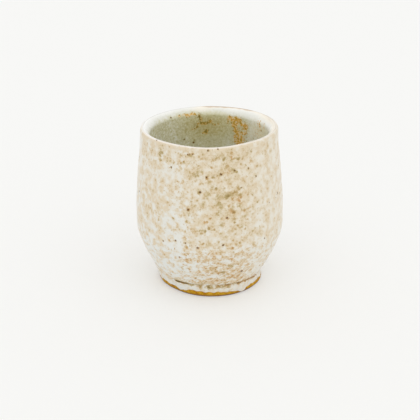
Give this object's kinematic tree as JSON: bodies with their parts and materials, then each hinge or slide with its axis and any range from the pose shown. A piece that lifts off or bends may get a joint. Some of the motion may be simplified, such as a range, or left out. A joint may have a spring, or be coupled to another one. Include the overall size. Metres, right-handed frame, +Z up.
{
  "type": "tea cup",
  "caption": "Handle-less stoneware tea cup with a rounded lip, a soft corner low on the wall, a trimmed foot ring and mottled glaze.",
  "frame": {"origin": "centre of the foot ring, on the surface that the cup stands on", "axes": "+Z up along the axis of the cup; X and Y are equal, because the cup is round"},
  "size_m": [0.078, 0.078, 0.0855],
  "materials": {
    "stoneware": "bare fired clay, ochre where the glaze ends",
    "mottled_glaze": "satin tan and white mottled glaze with iron specks",
    "celadon_glaze": "glossy grey-green glaze with rust streaks",
    "well_glaze": "satin pale glaze under the foot"
  },
  "bodies": {
    "root": {"clay_body": "stoneware", "outer_glaze": "mottled_glaze", "liner_glaze": "celadon_glaze", "foot_glaze": "well_glaze"}
  },
  "joints": []
}
